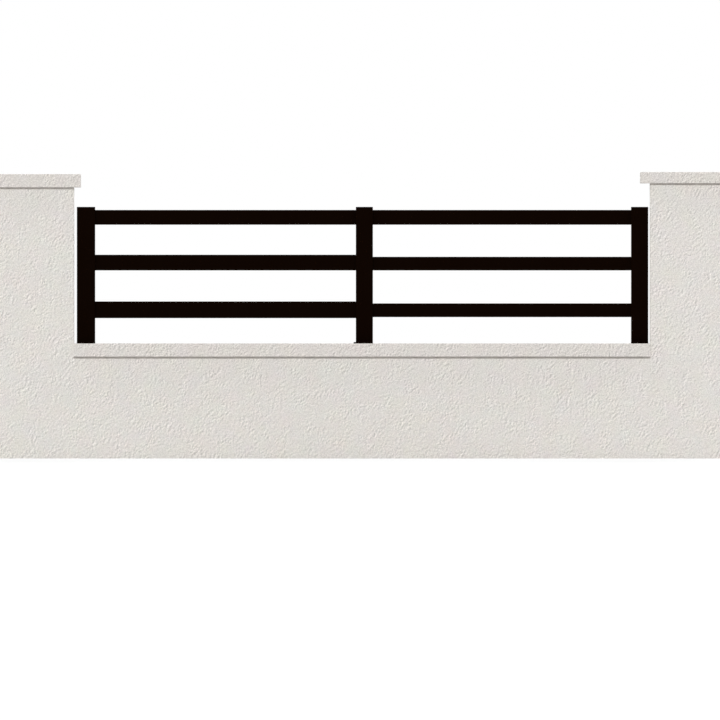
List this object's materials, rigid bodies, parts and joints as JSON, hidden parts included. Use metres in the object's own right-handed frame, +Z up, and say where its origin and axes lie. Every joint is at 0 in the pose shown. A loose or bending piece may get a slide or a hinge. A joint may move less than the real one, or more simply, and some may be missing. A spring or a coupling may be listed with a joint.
{
  "type": "slatted garden fence on a low wall",
  "caption": "Open slatted fence: hollow horizontal slats between square posts on base plates, standing on a low rendered wall with a flat coping, between capped rendered piers.",
  "frame": {"origin": "on the ground, under the middle of the whole length and depth", "axes": "+X along the fence to the viewer's right, +Y to the back, +Z up"},
  "size_m": [3.287, 0.29, 1.2595],
  "materials": {
    "rendered_masonry": "matte",
    "rendered_coping": "matte",
    "bedding_mortar": "matte",
    "powder_coated_aluminium": "satin"
  },
  "bodies": {
    "root": {"low_wall": "rendered_masonry", "coping_mortar_bed": "bedding_mortar", "wall_coping": "rendered_coping", "left_pier": "rendered_masonry", "left_cap_mortar_bed": "bedding_mortar", "left_pier_cap": "rendered_coping", "right_pier": "rendered_masonry", "right_cap_mortar_bed": "bedding_mortar", "right_pier_cap": "rendered_coping", "left_base_plate": "powder_coated_aluminium", "left_post": "powder_coated_aluminium", "left_post_cap": "powder_coated_aluminium", "middle_base_plate": "powder_coated_aluminium", "middle_post": "powder_coated_aluminium", "middle_post_cap": "powder_coated_aluminium", "right_base_plate": "powder_coated_aluminium", "right_post": "powder_coated_aluminium", "right_post_cap": "powder_coated_aluminium", "left_bay_top_slat": "powder_coated_aluminium", "left_bay_top_slat_left_bracket": "powder_coated_aluminium", "left_bay_top_slat_right_bracket": "powder_coated_aluminium", "left_bay_middle_slat": "powder_coated_aluminium", "left_bay_middle_slat_left_bracket": "powder_coated_aluminium", "left_bay_middle_slat_right_bracket": "powder_coated_aluminium", "left_bay_bottom_slat": "powder_coated_aluminium", "left_bay_bottom_slat_left_bracket": "powder_coated_aluminium", "left_bay_bottom_slat_right_bracket": "powder_coated_aluminium", "right_bay_top_slat": "powder_coated_aluminium", "right_bay_top_slat_left_bracket": "powder_coated_aluminium", "right_bay_top_slat_right_bracket": "powder_coated_aluminium", "right_bay_middle_slat": "powder_coated_aluminium", "right_bay_middle_slat_left_bracket": "powder_coated_aluminium", "right_bay_middle_slat_right_bracket": "powder_coated_aluminium", "right_bay_bottom_slat": "powder_coated_aluminium", "right_bay_bottom_slat_left_bracket": "powder_coated_aluminium", "right_bay_bottom_slat_right_bracket": "powder_coated_aluminium"}
  },
  "joints": []
}
